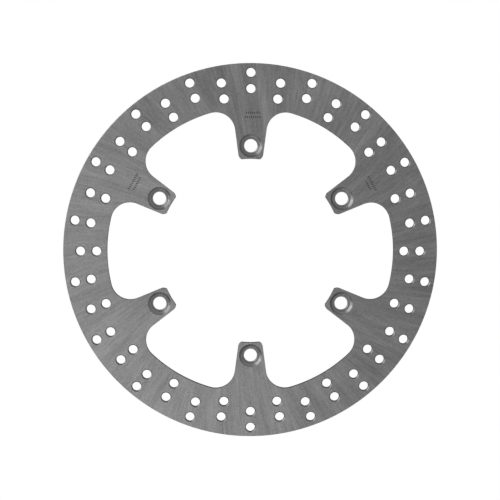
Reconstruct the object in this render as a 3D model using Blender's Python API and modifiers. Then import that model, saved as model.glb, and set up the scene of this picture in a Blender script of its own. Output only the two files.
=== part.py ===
"""Fixed motorcycle brake disc rotor: one steel plate with a drilled braking ring and six lugs.

Metres, +Z up. The rotor lies flat: z = 0 is the face that sits against the wheel hub, the six
bolt holes are recessed into the upper face, the axis of rotation is Z, and +Y runs along a lug.
"""

import math

import bmesh
import bpy
from mathutils import Matrix, Vector

# Plate and braking ring
OUTER_RADIUS = 0.160
THICKNESS = 0.005
RING_INNER_RADIUS = 0.1226

# Mounting lugs, pointing inwards from the ring
LUG_COUNT = 6
FIRST_LUG_ANGLE = math.radians(90.0)
BOLT_CIRCLE_RADIUS = 0.090
LUG_HALF_WIDTH = 0.0116  # at the bolt circle
LUG_TAPER = math.radians(7.6)  # of each side, so that the lug widens towards the ring
LUG_TIP_RADIUS = 0.07875  # distance of the lug tips from the axis
TIP_HALF_WIDTH = 0.0078  # to the corner where the rounded side meets the tip arc
TIP_CORNER_RADIUS = 0.0053
ROOT_FILLET_RADIUS = 0.0165

# Bolt holes, each with a steep-walled recess round a gently dished seat
BOLT_HOLE_RADIUS = 0.0056
RECESS_RADIUS = 0.00975  # at the upper face
SEAT_RADIUS = 0.00775  # where the steep wall meets the seat
RECESS_WALL_SLOPE = math.radians(45.0)
SEAT_SLOPE = math.radians(15.0)

# Drillings of the braking ring: four rows, used in alternating pairs
DRILLING_RADIUS = 0.0039
DRILLING_PAIRS = 36
OUTERMOST_ROW_RADIUS = 0.1522
ROW_STEP = 0.00685

# Segments of the round shapes
RIM_SEGMENTS = 180
BOLT_HOLE_SEGMENTS = 32
DRILLING_SEGMENTS = 20
FILLET_SEGMENTS = 12
CORNER_SEGMENTS = 4
TIP_SEGMENTS = 3
RING_EDGE_SEGMENTS = 5

CUTTER_CLEARANCE = 0.001  # how far a cutter stands above the upper face
WELD_DISTANCE = 0.000001

STEEL_COLOUR = (0.36, 0.36, 0.355, 1.0)
STEEL_ROUGHNESS = 0.38
SMOOTH_ANGLE = math.radians(30.0)


def clear_scene():
    """Remove every object of the start-up scene."""
    for old in list(bpy.data.objects):
        bpy.data.objects.remove(old, do_unlink=True)


def new_collection(name):
    """Make a collection under the scene."""
    collection = bpy.data.collections.new(name)
    bpy.context.scene.collection.children.link(collection)
    return collection


def polar(radius, angle, centre=Vector((0.0, 0.0))):
    """Return the point at a radius and angle from a centre."""
    return centre + radius * Vector((math.cos(angle), math.sin(angle)))


def angle_of(vector):
    """Return a vector's angle from +X."""
    return math.atan2(vector.y, vector.x)


def arc(centre, radius, start, end, segments):
    """Return the points of an arc, both ends included."""
    step = (end - start) / segments
    return [polar(radius, start + i * step, centre) for i in range(segments + 1)]


def circle(centre, radius, segments):
    """Return the points of a circle, starting at +X."""
    return arc(centre, radius, 0.0, 2.0 * math.pi, segments)[:-1]


def tip_corner_centre(along, outward, side_offset):
    """Return the centre of the arc that leads from a lug's side to the corner on its tip arc."""
    tip_corner = Vector((math.sqrt(LUG_TIP_RADIUS ** 2 - TIP_HALF_WIDTH ** 2), TIP_HALF_WIDTH))
    offset = side_offset - TIP_CORNER_RADIUS
    rise = math.sqrt(TIP_CORNER_RADIUS ** 2 - (offset - outward.dot(tip_corner)) ** 2)
    return offset * outward + (along.dot(tip_corner) + rise) * along


def lug_half_outline():
    """Return one side of a lug that lies along +X, from its tip to half way to the next lug.

    The side is a straight line. At the tip a convex arc leads from it to a corner on the
    concentric tip arc, and at the root it turns into the ring's inner edge by a concave fillet.
    The centre of each of these two arcs lies on a line parallel to the side.
    """
    origin = Vector((0.0, 0.0))
    along = polar(1.0, LUG_TAPER)
    outward = polar(1.0, LUG_TAPER + math.pi / 2.0)
    side_offset = outward.dot(Vector((BOLT_CIRCLE_RADIUS, LUG_HALF_WIDTH)))

    tip_angle = math.asin(TIP_HALF_WIDTH / LUG_TIP_RADIUS)
    corner_centre = tip_corner_centre(along, outward, side_offset)
    corner_angle = angle_of(polar(LUG_TIP_RADIUS, tip_angle) - corner_centre)

    fillet_offset = side_offset + ROOT_FILLET_RADIUS
    fillet_distance = RING_INNER_RADIUS - ROOT_FILLET_RADIUS
    fillet_run = math.sqrt(fillet_distance ** 2 - fillet_offset ** 2)
    fillet_centre = fillet_offset * outward + fillet_run * along
    fillet_angle = angle_of(fillet_centre)

    side_angle = angle_of(outward)
    half_pitch = math.pi / LUG_COUNT
    tip = arc(origin, LUG_TIP_RADIUS, 0.0, tip_angle, TIP_SEGMENTS)
    corner = arc(corner_centre, TIP_CORNER_RADIUS, corner_angle, side_angle, CORNER_SEGMENTS)
    fillet = arc(fillet_centre, ROOT_FILLET_RADIUS, side_angle - math.pi, fillet_angle, FILLET_SEGMENTS)
    ring_edge = arc(origin, RING_INNER_RADIUS, fillet_angle, half_pitch, RING_EDGE_SEGMENTS)
    return tip + corner[1:] + fillet + ring_edge[1:]


def inner_outline():
    """Return the closed inner outline of the plate: all lugs and the ring edge between them."""
    half = lug_half_outline()
    mirrored = [Vector((point.x, -point.y)) for point in reversed(half[1:-1])]
    sector = mirrored + half
    outline = []
    for index in range(LUG_COUNT):
        turn = Matrix.Rotation(lug_angle(index), 2)
        outline += [turn @ point for point in sector]
    return outline


def lug_angle(index):
    """Return the angle of a lug about the axis."""
    return FIRST_LUG_ANGLE + index * 2.0 * math.pi / LUG_COUNT


def bolt_centres():
    """Return the centres of the bolt holes, one in each lug."""
    return [polar(BOLT_CIRCLE_RADIUS, lug_angle(index)) for index in range(LUG_COUNT)]


def drilling_centres():
    """Return the centres of the drillings.

    Each pair lies on one radius. Pairs alternate between rows 1 and 3 and rows 2 and 4,
    counted inwards, and every lug has a pair of the outer kind in line with it.
    """
    centres = []
    for pair in range(DRILLING_PAIRS):
        angle = FIRST_LUG_ANGLE + pair * 2.0 * math.pi / DRILLING_PAIRS
        first_row = pair % 2
        for row in (first_row, first_row + 2):
            centres.append(polar(OUTERMOST_ROW_RADIUS - row * ROW_STEP, angle))
    return centres


def add_loop(curve, points):
    """Add a closed run of points to a flat curve."""
    spline = curve.splines.new("POLY")
    spline.points.add(len(points) - 1)
    for target, point in zip(spline.points, points):
        target.co = (point.x, point.y, 0.0, 1.0)
    spline.use_cyclic_u = True


def flat_plate(name, loops, thickness, collection):
    """Make a plate from its outline and holes, standing on z = 0, as a welded mesh."""
    curve = bpy.data.curves.new(name + "_outline", "CURVE")
    curve.dimensions = "2D"
    curve.fill_mode = "BOTH"
    curve.extrude = thickness / 2.0
    for points in loops:
        add_loop(curve, points)
    outline = bpy.data.objects.new(name + "_outline", curve)
    outline.location.z = thickness / 2.0
    collection.objects.link(outline)

    bpy.context.view_layer.update()
    evaluated = outline.evaluated_get(bpy.context.evaluated_depsgraph_get())
    mesh = bpy.data.meshes.new_from_object(evaluated)
    mesh.name = name
    weld(mesh)
    plate = bpy.data.objects.new(name, mesh)
    plate.matrix_world = outline.matrix_world
    collection.objects.link(plate)
    bpy.data.objects.remove(outline, do_unlink=True)
    return plate


def weld(mesh):
    """Join the caps of a converted curve to its walls."""
    edited = bmesh.new()
    edited.from_mesh(mesh)
    bmesh.ops.remove_doubles(edited, verts=edited.verts, dist=WELD_DISTANCE)
    edited.to_mesh(mesh)
    edited.free()


def recess_profile():
    """Return the recess cutter's profile from the top of its axis down to the bottom of it.

    Heights are measured from the upper face of the plate.
    """
    spread = CUTTER_CLEARANCE / math.tan(RECESS_WALL_SLOPE)
    wall_depth = (RECESS_RADIUS - SEAT_RADIUS) * math.tan(RECESS_WALL_SLOPE)
    seat_depth = wall_depth + SEAT_RADIUS * math.tan(SEAT_SLOPE)
    return [
        (0.0, CUTTER_CLEARANCE),
        (RECESS_RADIUS + spread, CUTTER_CLEARANCE),
        (SEAT_RADIUS, -wall_depth),
        (0.0, -seat_depth),
    ]


def turned_mesh_object(name, profile, segments, collection):
    """Make a turned solid about its own Z axis from a profile of radii and heights."""
    mesh = bpy.data.meshes.new(name)
    points = [(radius, 0.0, height) for radius, height in profile]
    edges = [(i, i + 1) for i in range(len(points) - 1)]
    mesh.from_pydata(points, edges, [])
    turned = bpy.data.objects.new(name, mesh)
    collection.objects.link(turned)
    screw = turned.modifiers.new("turn", "SCREW")
    screw.axis = "Z"
    screw.steps = segments
    screw.render_steps = segments
    screw.use_merge_vertices = True
    screw.merge_threshold = WELD_DISTANCE
    return turned


def cut_recesses(plate, collection):
    """Cut the bolt recesses into the plate's upper face."""
    for index, centre in enumerate(bolt_centres()):
        name = f"bolt_recess_cutter_{index + 1}"
        cutter = turned_mesh_object(name, recess_profile(), BOLT_HOLE_SEGMENTS, collection)
        cutter.location = (centre.x, centre.y, THICKNESS)
        cutter.hide_render = True
        cutter.display_type = "WIRE"
        cut = plate.modifiers.new(f"bolt_recess_{index + 1}", "BOOLEAN")
        cut.operation = "DIFFERENCE"
        cut.solver = "EXACT"
        cut.object = cutter


def steel_material():
    """Return the ground stainless steel of the plate."""
    material = bpy.data.materials.new("ground_steel")
    material.use_nodes = True
    shader = material.node_tree.nodes["Principled BSDF"]
    shader.inputs["Base Color"].default_value = STEEL_COLOUR
    shader.inputs["Metallic"].default_value = 1.0
    shader.inputs["Roughness"].default_value = STEEL_ROUGHNESS
    return material


def make_rotor_plate(parts, cutters):
    """Make the rotor: its flat outline with all holes, then the recesses of the bolt holes."""
    loops = [circle(Vector((0.0, 0.0)), OUTER_RADIUS, RIM_SEGMENTS), inner_outline()]
    for centre in bolt_centres():
        loops.append(circle(centre, BOLT_HOLE_RADIUS, BOLT_HOLE_SEGMENTS))
    for centre in drilling_centres():
        loops.append(circle(centre, DRILLING_RADIUS, DRILLING_SEGMENTS))
    plate = flat_plate("rotor_plate", loops, THICKNESS, parts)
    plate.data.materials.append(steel_material())
    cut_recesses(plate, cutters)
    plate.data.shade_smooth()
    plate.data.set_sharp_from_angle(angle=SMOOTH_ANGLE)
    return plate


def main():
    clear_scene()
    parts = new_collection("brake_disc_rotor")
    cutters = new_collection("cutters")
    make_rotor_plate(parts, cutters)


main()
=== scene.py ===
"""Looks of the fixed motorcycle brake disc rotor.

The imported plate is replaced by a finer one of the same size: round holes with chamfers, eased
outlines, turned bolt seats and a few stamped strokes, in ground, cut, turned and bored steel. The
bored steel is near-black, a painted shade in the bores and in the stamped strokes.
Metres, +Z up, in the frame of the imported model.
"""

import math

import bmesh
import bpy
from mathutils import Matrix, Vector


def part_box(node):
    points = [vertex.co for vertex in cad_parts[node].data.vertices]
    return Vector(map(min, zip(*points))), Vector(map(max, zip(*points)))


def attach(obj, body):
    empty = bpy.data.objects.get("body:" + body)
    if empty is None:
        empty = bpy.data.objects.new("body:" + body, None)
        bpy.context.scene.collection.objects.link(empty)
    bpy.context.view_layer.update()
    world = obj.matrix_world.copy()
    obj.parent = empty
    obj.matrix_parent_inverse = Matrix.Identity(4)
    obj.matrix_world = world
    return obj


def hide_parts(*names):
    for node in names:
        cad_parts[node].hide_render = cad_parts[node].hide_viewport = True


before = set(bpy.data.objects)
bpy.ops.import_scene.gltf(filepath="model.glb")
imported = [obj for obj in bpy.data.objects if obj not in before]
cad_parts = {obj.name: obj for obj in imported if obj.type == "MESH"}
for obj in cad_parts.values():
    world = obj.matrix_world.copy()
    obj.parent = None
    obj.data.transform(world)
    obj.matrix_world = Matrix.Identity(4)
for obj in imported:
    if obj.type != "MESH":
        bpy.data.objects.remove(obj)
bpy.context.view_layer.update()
PLATE_LOW, PLATE_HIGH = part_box("rotor_plate")

# Sizes that follow from the frame
OUTER_RADIUS = (PLATE_HIGH.x - PLATE_LOW.x) / 2.0
TOP = PLATE_HIGH.z
BOTTOM = PLATE_LOW.z

# Outline of the ring's inner edge and the lugs
RING_INNER_RADIUS = 0.1226
LUG_COUNT = 6
FIRST_LUG_ANGLE = math.radians(90.0)
BOLT_CIRCLE_RADIUS = 0.090
LUG_HALF_WIDTH = 0.0116
LUG_TAPER = math.radians(7.6)
LUG_TIP_RADIUS = 0.07875
TIP_HALF_WIDTH = 0.0078
TIP_CORNER_RADIUS = 0.0053
ROOT_FILLET_RADIUS = 0.0165

# Holes
BOLT_HOLE_RADIUS = 0.0056
RECESS_RADIUS = 0.00975
SEAT_RADIUS = 0.00775
RECESS_WALL_SLOPE = math.radians(45.0)
SEAT_SLOPE = math.radians(15.0)
DRILLING_RADIUS = 0.0039
DRILLING_PAIRS = 36
OUTERMOST_ROW_RADIUS = 0.1522
ROW_STEP = 0.00685

# Finish of the edges
DRILLING_CHAMFER = 0.0007
BOLT_HOLE_CHAMFER = 0.0003
RECESS_LIP = 0.00012
RECESS_FILLET = 0.0004
RIM_ROUND = 0.0004
OUTLINE_ROUND = 0.00025

# Plain stamped strokes in two short rows on three lugs: lug, outer row's radius, strokes in each row
MARKED_LUGS = ((0, 0.1180, 7, 8), (1, 0.1165, 9, 7), (-1, 0.1188, 8, 5))
MARK_ROW_STEP = 0.0037
MARK_PITCH = 0.0018
MARK_SHIFT = 0.0015
MARK_HALF_LENGTH = 0.00095
MARK_HALF_WIDTH = 0.00035
MARK_DEPTH = 0.0002

# Segments of the round shapes
RIM_SEGMENTS = 360
DRILLING_SEGMENTS = 40
BOLT_HOLE_SEGMENTS = 72
FILLET_SEGMENTS = 28
CORNER_SEGMENTS = 10
TIP_SEGMENTS = 6
RING_EDGE_SEGMENTS = 12
EDGE_SEGMENTS = 3
MARK_SEGMENTS = 12
SHARP_ANGLE = math.radians(35.0)

# Material slots of the plate's mesh
# The last slot is near-black steel that paints shade into the bores and the stamped strokes
GROUND, CUT, TURNED, PAINTED_SHADE_SLOT = 0, 1, 2, 3

# Ground steel
GROUND_GREY = 0.42
GROUND_LEAN = math.radians(9.0)  # of a grinding line from the radius
GROUND_ROUGHNESS = 0.36
GROUND_ROUGHNESS_CHANGE = 0.12
GROUND_ANISOTROPY = 0.8
GROUND_BUMP = (0.15, 0.0002)  # strength and distance, as in the other bumps

# Its streaks: noise cells per radian, their length along the radius, detail, weight in the grey
BROAD_STREAKS = (14.0, 0.060, 1.0, 0.20)
MIDDLE_STREAKS = (60.0, 0.030, 1.0, 0.20)
FINE_STREAKS = (150.0, 0.014, 2.0, 0.22)
GRAIN_SCALE = 900.0
GRAIN_WEIGHT = 0.28

# Cut steel, and near-black bored steel that paints shade into the bores and the stamped strokes
CUT_GREY = 0.30
# Near-black: painted shade on the bore walls and in the stamped strokes
PAINTED_SHADE_GREY = 0.04
CUT_LINES = (1500.0, 1500.0, 120.0)  # noise cells per metre, longest through the plate
CUT_ROUGHNESS = 0.55
CUT_ROUGHNESS_CHANGE = 0.2
CUT_BUMP = (0.3, 0.0001)

# Turned steel
TURNED_GREY = 0.35
TURNED_GREY_CHANGE = 0.15
TURNED_GROOVES = 3000.0  # noise cells per metre across the grooves
TURNED_ROUGHNESS = 0.32
TURNED_ROUGHNESS_CHANGE = 0.15
TURNED_BUMP = (0.02, 0.0001)

# Camera: almost square on, a little towards the top and the left
CAMERA_DISTANCE = 1.2
CAMERA_LEAN = Vector((-0.0251, 0.0642, 1.0))
CAMERA_UP = Vector((-0.0017, 1.0, 0.0))
CAMERA_TARGET = Vector((-0.0006, 0.0010, 0.0))
SENSOR_WIDTH = 36.0
LENS = 101.0

# Studio floor
FLOOR_HALF_SIZE = 4.0
FLOOR_GAP = 0.0002  # below the plate
FLOOR_COLOUR = (0.3, 0.3, 0.3, 1.0)

# Soft lights: name, azimuth from +X towards +Y and elevation in degrees, side, power in watts
LIGHT_DISTANCE = 1.8
SOFT_LIGHTS = (
    ("key", 148.0, 20.0, 1.5, 9.0),
    ("low_left", 178.0, 8.0, 1.2, 3.5),
    ("low_fill", 250.0, 10.0, 1.6, 2.0),
    ("lower_left", 222.0, 70.0, 0.8, 1.3),
    ("overhead", 0.0, 90.0, 2.0, 2.2),
)

# Greys of the room, by the sine of the angle above or below the horizon
ROOM_GREYS = ((0.0, 0.05), (0.13, 0.08), (0.24, 0.7), (0.5, 0.6), (0.7, 0.2), (1.0, 0.2))

ORIGIN = Vector((0.0, 0.0))


# ---------------------------------------------------------------- outlines


def polar(radius, angle, centre=ORIGIN):
    """Return the point at a radius and angle from a centre."""
    return centre + radius * Vector((math.cos(angle), math.sin(angle)))


def angle_of(vector):
    """Return a vector's angle from +X."""
    return math.atan2(vector.y, vector.x)


def arc(centre, radius, start, end, segments):
    """Return the points of an arc, both ends included."""
    step = (end - start) / segments
    return [polar(radius, start + i * step, centre) for i in range(segments + 1)]


def circle(centre, radius, segments):
    """Return the points of a circle."""
    return arc(centre, radius, 0.0, 2.0 * math.pi, segments)[:-1]


def tip_corner_centre(along, outward):
    """Return the centre of the arc that leads from a lug's side to the corner on its tip arc."""
    tip_corner = Vector((math.sqrt(LUG_TIP_RADIUS ** 2 - TIP_HALF_WIDTH ** 2), TIP_HALF_WIDTH))
    side_offset = outward.dot(Vector((BOLT_CIRCLE_RADIUS, LUG_HALF_WIDTH)))
    offset = side_offset - TIP_CORNER_RADIUS
    rise = math.sqrt(TIP_CORNER_RADIUS ** 2 - (offset - outward.dot(tip_corner)) ** 2)
    return offset * outward + (along.dot(tip_corner) + rise) * along


def lug_half_outline(inset):
    """Return one side of a lug along +X, from its tip to half way to the next lug.

    inset moves the whole line into the steel by that distance.
    """
    along = polar(1.0, LUG_TAPER)
    outward = polar(1.0, LUG_TAPER + math.pi / 2.0)
    side_offset = outward.dot(Vector((BOLT_CIRCLE_RADIUS, LUG_HALF_WIDTH))) - inset
    tip_radius = LUG_TIP_RADIUS + inset
    corner_radius = TIP_CORNER_RADIUS - inset
    fillet_radius = ROOT_FILLET_RADIUS + inset
    ring_radius = RING_INNER_RADIUS + inset

    corner_centre = tip_corner_centre(along, outward)
    reach = corner_centre.length
    cosine = (tip_radius ** 2 + reach ** 2 - corner_radius ** 2) / (2.0 * tip_radius * reach)
    tip_angle = angle_of(corner_centre) + math.acos(cosine)
    corner_angle = angle_of(polar(tip_radius, tip_angle) - corner_centre)

    fillet_offset = side_offset + fillet_radius
    fillet_run = math.sqrt((ring_radius - fillet_radius) ** 2 - fillet_offset ** 2)
    fillet_centre = fillet_offset * outward + fillet_run * along
    fillet_angle = angle_of(fillet_centre)

    side_angle = angle_of(outward)
    half_pitch = math.pi / LUG_COUNT
    tip = arc(ORIGIN, tip_radius, 0.0, tip_angle, TIP_SEGMENTS)
    corner = arc(corner_centre, corner_radius, corner_angle, side_angle, CORNER_SEGMENTS)
    fillet = arc(fillet_centre, fillet_radius, side_angle - math.pi, fillet_angle, FILLET_SEGMENTS)
    ring_edge = arc(ORIGIN, ring_radius, fillet_angle, half_pitch, RING_EDGE_SEGMENTS)
    return tip + corner[1:] + fillet + ring_edge[1:]


def lug_angle(index):
    """Return the angle of a lug about the axis."""
    return FIRST_LUG_ANGLE + index * 2.0 * math.pi / LUG_COUNT


def inner_outline(inset):
    """Return the closed inner outline of the plate."""
    half = lug_half_outline(inset)
    mirrored = [Vector((point.x, -point.y)) for point in reversed(half[1:-1])]
    outline = []
    for index in range(LUG_COUNT):
        turn = Matrix.Rotation(lug_angle(index), 2)
        outline += [turn @ point for point in mirrored + half]
    return outline


def bolt_centres():
    """Return the centres of the bolt holes."""
    return [polar(BOLT_CIRCLE_RADIUS, lug_angle(index)) for index in range(LUG_COUNT)]


def drilling_centres():
    """Return the centres of the drillings: radial pairs that alternate between two places."""
    centres = []
    for pair in range(DRILLING_PAIRS):
        angle = FIRST_LUG_ANGLE + pair * 2.0 * math.pi / DRILLING_PAIRS
        first_row = pair % 2
        for row in (first_row, first_row + 2):
            centres.append(polar(OUTERMOST_ROW_RADIUS - row * ROW_STEP, angle))
    return centres


def mark_outlines():
    """Return the outlines of the stamped strokes, which are narrow ellipses along the radius."""
    stroke = [Vector((p.x * MARK_HALF_LENGTH, p.y * MARK_HALF_WIDTH))
              for p in circle(ORIGIN, 1.0, MARK_SEGMENTS)]
    outlines = []
    for lug, radius, outer_count, inner_count in MARKED_LUGS:
        turn = Matrix.Rotation(lug_angle(lug), 2)
        for row_radius, count in ((radius, outer_count), (radius - MARK_ROW_STEP, inner_count)):
            for i in range(count):
                across = (i - (count - 1) / 2.0) * MARK_PITCH - MARK_SHIFT
                outlines.append([turn @ (point + Vector((row_radius, across))) for point in stroke])
    return outlines


# ---------------------------------------------------------------- the plate's mesh


def chamfered_edge(size):
    """Return (inset, height) from the top face to the bottom face, with flat chamfers."""
    return [(size, TOP), (0.0, TOP - size), (0.0, BOTTOM + size), (size, BOTTOM)]


def rounded_edge(size):
    """Return (inset, height) from the top face to the bottom face, with rounded corners."""
    upper = []
    for i in range(EDGE_SEGMENTS + 1):
        turn = i * math.pi / 2.0 / EDGE_SEGMENTS
        upper.append((size - size * math.sin(turn), TOP - size + size * math.cos(turn)))
    lower = [(inset, TOP + BOTTOM - height) for inset, height in reversed(upper)]
    return upper + lower


def bolt_hole_profile():
    """Return (radius, height, slot) down a bolt hole: lip, steep wall, dished seat and bore."""
    wall_depth = (RECESS_RADIUS - SEAT_RADIUS) * math.tan(RECESS_WALL_SLOPE)
    foot = Vector((SEAT_RADIUS, TOP - wall_depth))
    up_wall = Vector((math.cos(RECESS_WALL_SLOPE), math.sin(RECESS_WALL_SLOPE)))
    down_seat = Vector((-math.cos(SEAT_SLOPE), -math.sin(SEAT_SLOPE)))
    rows = [
        (RECESS_RADIUS + RECESS_LIP, TOP, TURNED),
        (RECESS_RADIUS - RECESS_LIP, TOP - 2.0 * RECESS_LIP * math.tan(RECESS_WALL_SLOPE), TURNED),
    ]
    wall_foot = foot + up_wall * RECESS_FILLET
    seat_head = foot + down_seat * RECESS_FILLET
    for i in range(EDGE_SEGMENTS + 1):
        t = i / EDGE_SEGMENTS
        point = (1 - t) ** 2 * wall_foot + 2 * t * (1 - t) * foot + t ** 2 * seat_head
        rows.append((point.x, point.y, TURNED))
    edge_radius = BOLT_HOLE_RADIUS + BOLT_HOLE_CHAMFER
    edge_height = foot.y - (SEAT_RADIUS - edge_radius) * math.tan(SEAT_SLOPE)
    rows += [
        (edge_radius, edge_height, TURNED),
        # The bore below the chamfer is near-black steel, a painted shade
        (BOLT_HOLE_RADIUS, edge_height - BOLT_HOLE_CHAMFER, PAINTED_SHADE_SLOT),
        (BOLT_HOLE_RADIUS, BOTTOM + BOLT_HOLE_CHAMFER, TURNED),
        (edge_radius, BOTTOM, TURNED),
    ]
    return rows


def add_ring(mesh, points, height):
    """Add a closed ring of vertices at a height."""
    return [mesh.verts.new((point.x, point.y, height)) for point in points]


def bridge(mesh, upper, lower, slot):
    """Join two rings of the same length with quads."""
    count = len(upper)
    for i in range(count):
        j = (i + 1) % count
        face = mesh.faces.new((upper[i], upper[j], lower[j], lower[i]))
        face.material_index = slot


def ring_edges(mesh, ring):
    """Return the edges of a ring that borders a flat face, marked as sharp."""
    edges = []
    for i, vert in enumerate(ring):
        edge = mesh.edges.get((vert, ring[(i + 1) % len(ring)]))
        edge.smooth = False
        edges.append(edge)
    return edges


def add_wall(mesh, rings, slots, caps):
    """Join a stack of rings and keep its first and last for the caps."""
    for upper, lower, slot in zip(rings, rings[1:], slots):
        bridge(mesh, upper, lower, slot)
    caps[0].extend(ring_edges(mesh, rings[0]))
    caps[1].extend(ring_edges(mesh, rings[-1]))


def add_edge_wall(mesh, ring_at, profile, wall_slot, corner_slot, caps):
    """Add a wall whose ring at a given inset is known, with a corner at the top and the bottom."""
    rings = [add_ring(mesh, ring_at(inset), height) for inset, height in profile]
    middle = len(profile) // 2 - 1
    slots = [wall_slot if i == middle else corner_slot for i in range(len(profile) - 1)]
    add_wall(mesh, rings, slots, caps)


def add_mark(mesh, outline, caps):
    """Add one stamped stroke, a shallow groove in the top face that is deepest at its middle. Its
    faces are the near-black steel, a painted shade in the groove.
    """
    ring = add_ring(mesh, outline, TOP)
    middle = sum(outline, ORIGIN) / len(outline)
    bottom = mesh.verts.new((middle.x, middle.y, TOP - MARK_DEPTH))
    for i, vert in enumerate(ring):
        face = mesh.faces.new((vert, ring[(i + 1) % len(ring)], bottom))
        face.material_index = PAINTED_SHADE_SLOT
    caps[0].extend(ring_edges(mesh, ring))


def mark_sharp_edges(mesh):
    """Mark the edges that turn further than the steps of the rounded corners do."""
    for edge in mesh.edges:
        if edge.calc_face_angle() > SHARP_ANGLE:
            edge.smooth = False


def make_plate():
    """Make the finished plate as one closed mesh."""
    mesh = bmesh.new()
    caps = ([], [])

    def rim(inset):
        return circle(ORIGIN, OUTER_RADIUS - inset, RIM_SEGMENTS)

    add_edge_wall(mesh, rim, rounded_edge(RIM_ROUND), CUT, GROUND, caps)
    add_edge_wall(mesh, inner_outline, rounded_edge(OUTLINE_ROUND), CUT, GROUND, caps)
    for centre in drilling_centres():
        def drilling(inset, centre=centre):
            return circle(centre, DRILLING_RADIUS + inset, DRILLING_SEGMENTS)

        # The drillings' walls are near-black steel, a painted shade
        add_edge_wall(mesh, drilling, chamfered_edge(DRILLING_CHAMFER), PAINTED_SHADE_SLOT, TURNED, caps)
    for centre in bolt_centres():
        rows = bolt_hole_profile()
        rings = [add_ring(mesh, circle(centre, r, BOLT_HOLE_SEGMENTS), z) for r, z, _ in rows]
        add_wall(mesh, rings, [slot for _, _, slot in rows], caps)
    for outline in mark_outlines():
        add_mark(mesh, outline, caps)
    for edges in caps:
        bmesh.ops.triangle_fill(mesh, use_beauty=True, use_dissolve=False, edges=edges)
    bmesh.ops.recalc_face_normals(mesh, faces=mesh.faces)
    mark_sharp_edges(mesh)

    data = bpy.data.meshes.new("rotor_plate_finished")
    mesh.to_mesh(data)
    mesh.free()
    data.polygons.foreach_set("use_smooth", [True] * len(data.polygons))
    plate = bpy.data.objects.new("rotor_plate_finished", data)
    bpy.context.scene.collection.objects.link(plate)
    return plate


# ---------------------------------------------------------------- materials


class Nodes:
    """A metal material, with a short way to add and join its nodes."""

    def __init__(self, name):
        self.material = bpy.data.materials.new(name)
        self.material.use_nodes = True
        self.tree = self.material.node_tree
        self.shader = self.tree.nodes["Principled BSDF"]
        self.shader.inputs["Metallic"].default_value = 1.0

    def add(self, kind, **settings):
        """Add a node and set its properties."""
        node = self.tree.nodes.new(kind)
        for key, value in settings.items():
            setattr(node, key, value)
        return node

    def join(self, source, target):
        """Join an output to an input."""
        self.tree.links.new(source, target)

    def feed(self, target, value):
        """Set an input to a number, or join it to an output."""
        if hasattr(value, "is_linked"):
            self.join(value, target)
        else:
            target.default_value = value

    def math(self, operation, first, second=0.0):
        """Return the output of a maths node."""
        node = self.add("ShaderNodeMath", operation=operation)
        self.feed(node.inputs[0], first)
        self.feed(node.inputs[1], second)
        return node.outputs[0]

    def noise(self, vector, scale, detail):
        """Return the output of a noise texture, centred on zero."""
        node = self.add("ShaderNodeTexNoise")
        self.join(vector, node.inputs["Vector"])
        node.inputs["Scale"].default_value = scale
        node.inputs["Detail"].default_value = detail
        return self.math("SUBTRACT", node.outputs["Fac"], 0.5)

    def grey(self, value):
        """Set the base colour from one grey value."""
        node = self.add("ShaderNodeCombineColor")
        for socket in node.inputs:
            self.feed(socket, value)
        self.join(node.outputs[0], self.shader.inputs["Base Color"])

    def roughness(self, noise, change, middle):
        """Let the roughness vary with a noise about a middle value."""
        value = self.math("ADD", self.math("MULTIPLY", noise, change), middle)
        self.join(value, self.shader.inputs["Roughness"])

    def bump(self, height, strength, distance):
        """Drive the normal from a height."""
        node = self.add("ShaderNodeBump")
        node.inputs["Strength"].default_value = strength
        node.inputs["Distance"].default_value = distance
        self.join(height, node.inputs["Height"])
        self.join(node.outputs[0], self.shader.inputs["Normal"])


def grinding_lines(n, place):
    """Return a unit vector that is the same all along a grinding line, and the radius.

    A line leans over by a constant angle, so it is a logarithmic spiral.
    """
    split = n.add("ShaderNodeSeparateXYZ")
    n.join(place, split.inputs[0])
    flat = n.add("ShaderNodeCombineXYZ")
    n.join(split.outputs["X"], flat.inputs["X"])
    n.join(split.outputs["Y"], flat.inputs["Y"])
    length = n.add("ShaderNodeVectorMath", operation="LENGTH")
    n.join(flat.outputs[0], length.inputs[0])
    radius = length.outputs["Value"]
    unit = n.add("ShaderNodeVectorMath", operation="NORMALIZE")
    n.join(flat.outputs[0], unit.inputs[0])
    lean = n.math("MULTIPLY", n.math("LOGARITHM", radius, math.e), -math.tan(GROUND_LEAN))
    turned = n.add("ShaderNodeVectorRotate", rotation_type="Z_AXIS")
    n.join(unit.outputs[0], turned.inputs["Vector"])
    n.join(lean, turned.inputs["Angle"])
    return turned.outputs[0], radius


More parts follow.
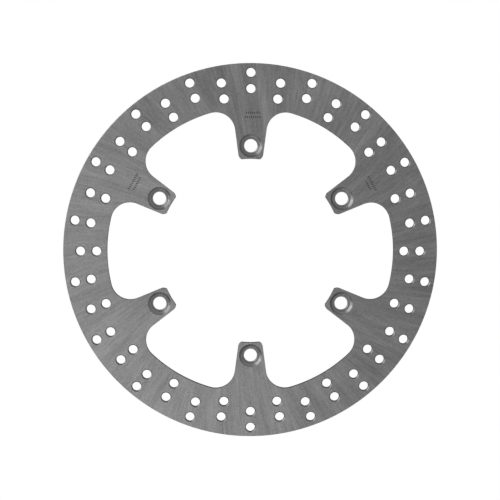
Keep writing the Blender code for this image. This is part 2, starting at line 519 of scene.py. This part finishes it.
def ground_steel():
    """Steel faces ground with nearly radial, slightly swirling lines."""
    n = Nodes("ground_steel")
    place = n.add("ShaderNodeTexCoord").outputs["Object"]
    side_vector, radius = grinding_lines(n, place)
    side = n.add("ShaderNodeSeparateXYZ")
    n.join(side_vector, side.inputs[0])

    def streaks(lines, length_along, detail, weight):
        """Return noise drawn out along the grinding lines, and the same times its weight."""
        vector = n.add("ShaderNodeCombineXYZ")
        n.join(n.math("MULTIPLY", side.outputs["X"], lines), vector.inputs["X"])
        n.join(n.math("MULTIPLY", side.outputs["Y"], lines), vector.inputs["Y"])
        n.join(n.math("DIVIDE", radius, length_along), vector.inputs["Z"])
        noise = n.noise(vector.outputs[0], 1.0, detail)
        return noise, n.math("MULTIPLY", noise, weight)

    _, broad_tone = streaks(*BROAD_STREAKS)
    middle, middle_tone = streaks(*MIDDLE_STREAKS)
    fine, fine_tone = streaks(*FINE_STREAKS)
    grain_tone = n.math("MULTIPLY", n.noise(place, GRAIN_SCALE, detail=2.0), GRAIN_WEIGHT)
    tone = n.math("ADD", broad_tone, middle_tone)
    tone = n.math("ADD", tone, fine_tone)
    tone = n.math("ADD", tone, grain_tone)
    n.grey(n.math("ADD", tone, GROUND_GREY))
    n.roughness(middle, GROUND_ROUGHNESS_CHANGE, GROUND_ROUGHNESS)
    n.bump(fine, *GROUND_BUMP)
    tangent = n.add("ShaderNodeTangent", direction_type="RADIAL", axis="Z")
    n.join(tangent.outputs[0], n.shader.inputs["Tangent"])
    n.shader.inputs["Anisotropic"].default_value = GROUND_ANISOTROPY
    return n.material


def cut_steel(name, grey):
    """Steel of the cut edges or the bores, with lines that run through the plate. The near-black grey
    given for the bores and the stamped strokes is painted shade.
    """
    n = Nodes(name)
    place = n.add("ShaderNodeTexCoord").outputs["Object"]
    stretched = n.add("ShaderNodeMapping")
    stretched.inputs["Scale"].default_value = CUT_LINES
    n.join(place, stretched.inputs["Vector"])
    lines = n.noise(stretched.outputs[0], 1.0, detail=2.0)
    n.grey(n.math("MULTIPLY", n.math("ADD", lines, 2.0), grey / 2.0))
    n.roughness(lines, CUT_ROUGHNESS_CHANGE, CUT_ROUGHNESS)
    n.bump(lines, *CUT_BUMP)
    return n.material


def turned_steel():
    """Steel of the bolt seats and the drillings' chamfers, turned with fine rings round each hole."""
    n = Nodes("turned_steel")
    distance = n.add("ShaderNodeAttribute", attribute_name="hole_distance")
    vector = n.add("ShaderNodeCombineXYZ")
    n.join(distance.outputs["Fac"], vector.inputs["X"])
    grooves = n.noise(vector.outputs[0], TURNED_GROOVES, detail=1.0)
    n.grey(n.math("ADD", n.math("MULTIPLY", grooves, TURNED_GREY_CHANGE), TURNED_GREY))
    n.roughness(grooves, TURNED_ROUGHNESS_CHANGE, TURNED_ROUGHNESS)
    n.bump(grooves, *TURNED_BUMP)
    return n.material


def mark_hole_distance(plate):
    """Store each vertex's distance from the nearest hole's axis, for the turned rings."""
    centres = bolt_centres() + drilling_centres()
    layer = plate.data.attributes.new("hole_distance", "FLOAT", "POINT")
    for vertex, value in zip(plate.data.vertices, layer.data):
        place = vertex.co.xy
        value.value = min((place - centre).length for centre in centres)


# ---------------------------------------------------------------- studio


def make_floor():
    """Make the plain floor, which looks evenly white to the camera."""
    mesh = bmesh.new()
    bmesh.ops.create_grid(mesh, x_segments=1, y_segments=1, size=FLOOR_HALF_SIZE)
    data = bpy.data.meshes.new("floor")
    mesh.to_mesh(data)
    mesh.free()
    floor = bpy.data.objects.new("floor", data)
    floor.location.z = BOTTOM - FLOOR_GAP
    bpy.context.scene.collection.objects.link(floor)

    material = bpy.data.materials.new("floor")
    material.use_nodes = True
    tree = material.node_tree
    tree.nodes.clear()
    output = tree.nodes.new("ShaderNodeOutputMaterial")
    diffuse = tree.nodes.new("ShaderNodeBsdfDiffuse")
    diffuse.inputs["Color"].default_value = FLOOR_COLOUR
    glow = tree.nodes.new("ShaderNodeEmission")
    glow.inputs["Strength"].default_value = 1.0
    path = tree.nodes.new("ShaderNodeLightPath")
    mix = tree.nodes.new("ShaderNodeMixShader")
    tree.links.new(path.outputs["Is Camera Ray"], mix.inputs["Fac"])
    tree.links.new(diffuse.outputs[0], mix.inputs[1])
    tree.links.new(glow.outputs[0], mix.inputs[2])
    tree.links.new(mix.outputs[0], output.inputs["Surface"])
    data.materials.append(material)


def make_world():
    """Make a grey room with a paler band off the horizon, which looks white to the camera."""
    world = bpy.data.worlds.new("room")
    world.use_nodes = True
    tree = world.node_tree
    room = tree.nodes["Background"]
    direction = tree.nodes.new("ShaderNodeTexCoord")
    split = tree.nodes.new("ShaderNodeSeparateXYZ")
    height = tree.nodes.new("ShaderNodeMath")
    height.operation = "ABSOLUTE"
    ramp = tree.nodes.new("ShaderNodeValToRGB")
    for _ in ROOM_GREYS[2:]:
        ramp.color_ramp.elements.new(1.0)
    for element, (position, grey) in zip(ramp.color_ramp.elements, ROOM_GREYS):
        element.position = position
        element.color = (grey, grey, grey, 1.0)
    white = tree.nodes.new("ShaderNodeBackground")
    white.inputs["Color"].default_value = (1.0, 1.0, 1.0, 1.0)
    path = tree.nodes.new("ShaderNodeLightPath")
    mix = tree.nodes.new("ShaderNodeMixShader")
    tree.links.new(direction.outputs["Generated"], split.inputs[0])
    tree.links.new(split.outputs["Z"], height.inputs[0])
    tree.links.new(height.outputs[0], ramp.inputs[0])
    tree.links.new(ramp.outputs[0], room.inputs["Color"])
    tree.links.new(path.outputs["Is Camera Ray"], mix.inputs["Fac"])
    tree.links.new(room.outputs[0], mix.inputs[1])
    tree.links.new(white.outputs[0], mix.inputs[2])
    tree.links.new(mix.outputs[0], tree.nodes["World Output"].inputs["Surface"])
    bpy.context.scene.world = world


def soft_light(name, azimuth, elevation, size, power):
    """Add a square soft light that faces the middle of the rotor."""
    data = bpy.data.lights.new(name, "AREA")
    data.shape = "SQUARE"
    data.size = size
    data.energy = power
    light = bpy.data.objects.new(name, data)
    a = math.radians(azimuth)
    e = math.radians(elevation)
    towards = Vector((math.cos(a) * math.cos(e), math.sin(a) * math.cos(e), math.sin(e)))
    light.location = towards * LIGHT_DISTANCE
    light.rotation_mode = "QUATERNION"
    light.rotation_quaternion = towards.to_track_quat("Z", "Y")
    bpy.context.scene.collection.objects.link(light)


def make_camera():
    """Make the camera, nearly square on to the upper face."""
    data = bpy.data.cameras.new("camera")
    data.sensor_width = SENSOR_WIDTH
    data.lens = LENS
    camera = bpy.data.objects.new("camera", data)
    towards = CAMERA_LEAN.normalized()
    target = CAMERA_TARGET + Vector((0.0, 0.0, TOP))
    right = CAMERA_UP.cross(towards).normalized()
    up = towards.cross(right)
    camera.location = target + towards * CAMERA_DISTANCE
    camera.rotation_mode = "QUATERNION"
    camera.rotation_quaternion = Matrix((right, up, towards)).transposed().to_quaternion()
    bpy.context.scene.collection.objects.link(camera)
    bpy.context.scene.camera = camera


make_camera()
make_world()
make_floor()
for light in SOFT_LIGHTS:
    soft_light(*light)

plate = make_plate()
plate.data.materials.append(ground_steel())
plate.data.materials.append(cut_steel("cut_steel", CUT_GREY))
plate.data.materials.append(turned_steel())
# Near-black steel that paints shade into the bores and the stamped strokes
plate.data.materials.append(cut_steel("painted_shade_steel", PAINTED_SHADE_GREY))
mark_hole_distance(plate)
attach(plate, "root")
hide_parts("rotor_plate")

bpy.context.scene.view_settings.view_transform = "Standard"
